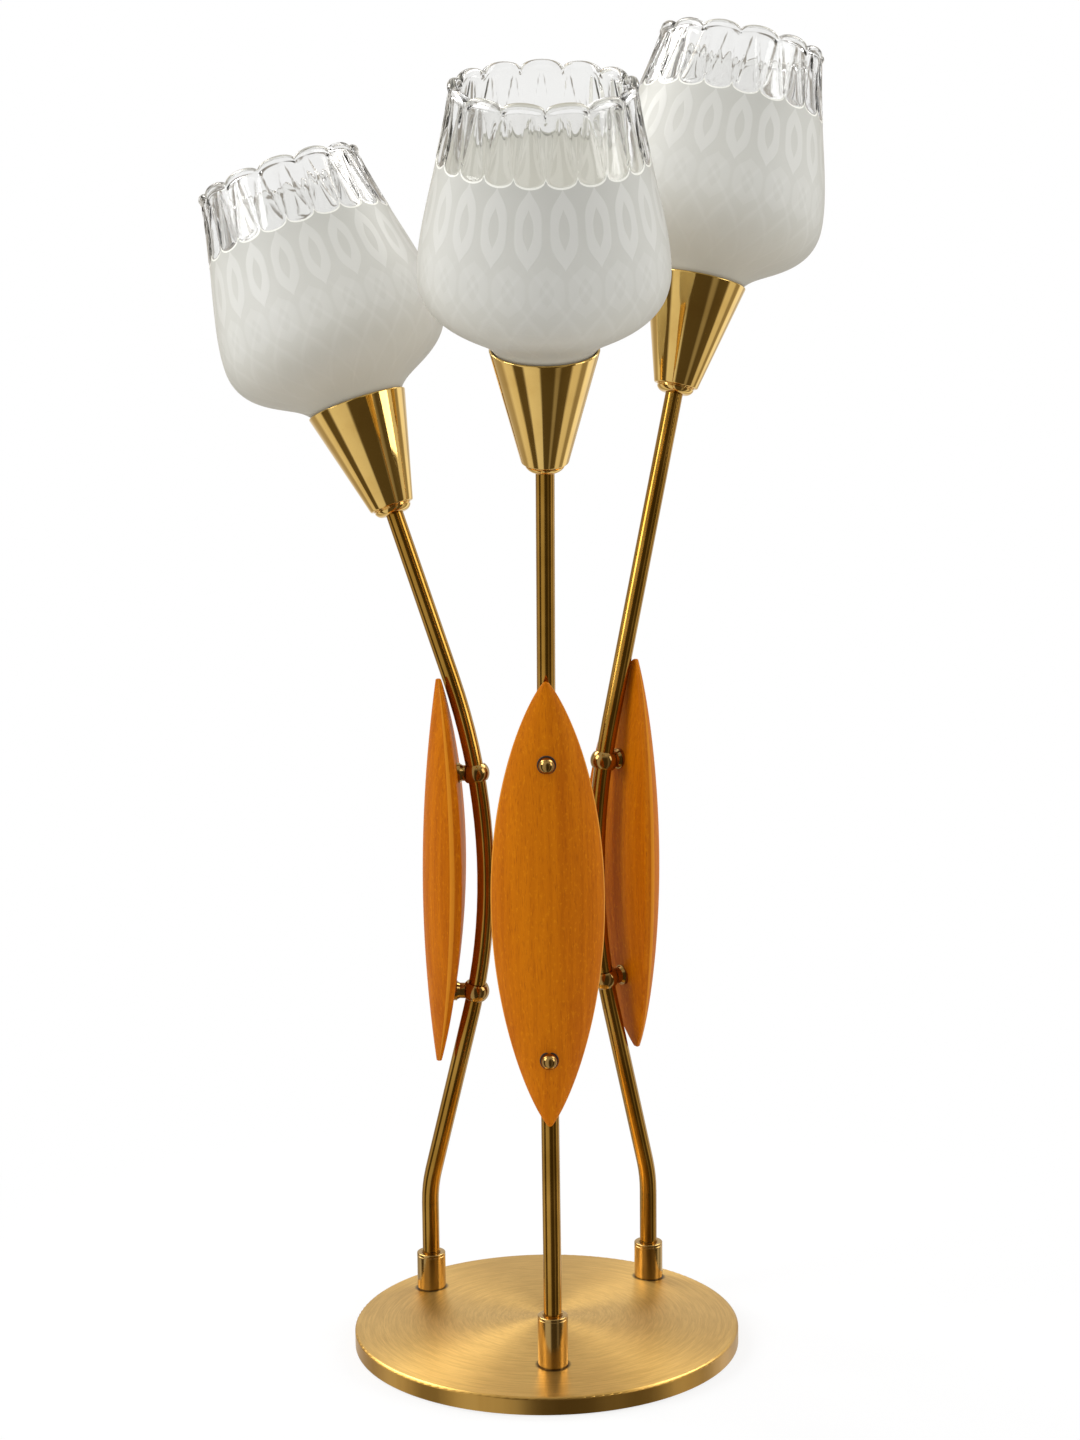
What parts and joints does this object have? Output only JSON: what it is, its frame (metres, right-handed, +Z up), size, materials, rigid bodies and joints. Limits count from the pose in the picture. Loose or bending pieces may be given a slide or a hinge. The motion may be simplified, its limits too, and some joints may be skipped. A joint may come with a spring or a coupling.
{
  "type": "table lamp",
  "caption": "Table lamp: round spun base, bent brass stems drawn together at a waist, leaf-shaped wood panels, conical cups and tulip glass shades that lift off.",
  "frame": {"origin": "centre of the base's underside, on the surface that the lamp stands on", "axes": "+Z up; -Y towards the front stem; +X to the right as seen from the front"},
  "size_m": [0.3562, 0.3441, 0.7456],
  "materials": {
    "satin_brass": "brushed in circles, satin",
    "aged_brass": "satin with dark ageing",
    "polished_brass": "mirror polished",
    "dark_brass": "polished and darkened",
    "contact_brass": "plain machined",
    "honey_wood": "satin lacquer, fine upright grain",
    "frosted_glass": "etched body with a clear fluted band",
    "bulb_glass": "opal",
    "plated_steel": "zinc plated",
    "cast_iron": "as cast, painted",
    "green_felt": "felt",
    "holder_ceramic": "glazed white",
    "dark_plastic": "phenolic moulding",
    "clear_rubber": "soft, translucent",
    "lead_jacket": "cable jacket",
    "brown_bush": "moulded",
    "dark_washer": "blackened"
  },
  "bodies": {
    "lamp": {"base_cover": "satin_brass", "base_weight": "cast_iron", "base_plate": "plated_steel", "base_pad": "green_felt", "plate_screws": "plated_steel", "terminal_block": "holder_ceramic", "inlet_bush": "brown_bush", "foot_nuts": "contact_brass", "foot_washers": "plated_steel", "cup_nuts": "contact_brass", "panel_washers": "dark_washer", "front_stem_tube": "aged_brass", "front_collar": "aged_brass", "front_inner_lead": "lead_jacket", "front_wood_panel": "honey_wood", "front_upper_clamp": "dark_brass", "front_lower_clamp": "dark_brass", "front_panel_screws": "dark_brass", "front_cup_cap": "polished_brass", "front_cup": "polished_brass", "front_holder_base": "dark_plastic", "front_holder_sleeve": "holder_ceramic", "front_contact_shell": "contact_brass", "front_gasket": "clear_rubber", "left_stem_tube": "aged_brass", "left_collar": "aged_brass", "left_inner_lead": "lead_jacket", "left_wood_panel": "honey_wood", "left_upper_clamp": "dark_brass", "left_lower_clamp": "dark_brass", "left_panel_screws": "dark_brass", "left_cup_cap": "polished_brass", "left_cup": "polished_brass", "left_holder_base": "dark_plastic", "left_holder_sleeve": "holder_ceramic", "left_contact_shell": "contact_brass", "left_gasket": "clear_rubber", "right_stem_tube": "aged_brass", "right_collar": "aged_brass", "right_inner_lead": "lead_jacket", "right_wood_panel": "honey_wood", "right_upper_clamp": "dark_brass", "right_lower_clamp": "dark_brass", "right_panel_screws": "dark_brass", "right_cup_cap": "polished_brass", "right_cup": "polished_brass", "right_holder_base": "dark_plastic", "right_holder_sleeve": "holder_ceramic", "right_contact_shell": "contact_brass", "right_gasket": "clear_rubber"},
    "front_shade": {"front_glass_shade": "frosted_glass"},
    "front_bulb": {"front_bulb_glass": "bulb_glass", "front_bulb_cap": "plated_steel"},
    "left_shade": {"left_glass_shade": "frosted_glass"},
    "left_bulb": {"left_bulb_glass": "bulb_glass", "left_bulb_cap": "plated_steel"},
    "right_shade": {"right_glass_shade": "frosted_glass"},
    "right_bulb": {"right_bulb_glass": "bulb_glass", "right_bulb_cap": "plated_steel"}
  },
  "joints": [
    {"name": "front_shade_lift", "type": "slide", "parent": "lamp", "child": "front_shade", "axis": [0.0042, -0.2419, 0.9703], "range_m": [0, 0.09]},
    {"name": "front_bulb_out", "type": "slide", "parent": "lamp", "child": "front_bulb", "axis": [0.0042, -0.2419, 0.9703], "range_m": [0, 0.18]},
    {"name": "left_shade_lift", "type": "slide", "parent": "lamp", "child": "left_shade", "axis": [-0.3158, 0.186, 0.9304], "range_m": [0, 0.09]},
    {"name": "left_bulb_out", "type": "slide", "parent": "lamp", "child": "left_bulb", "axis": [-0.3158, 0.186, 0.9304], "range_m": [0, 0.18]},
    {"name": "right_shade_lift", "type": "slide", "parent": "lamp", "child": "right_shade", "axis": [0.1999, 0.1897, 0.9613], "range_m": [0, 0.09]},
    {"name": "right_bulb_out", "type": "slide", "parent": "lamp", "child": "right_bulb", "axis": [0.1999, 0.1897, 0.9613], "range_m": [0, 0.18]}
  ]
}
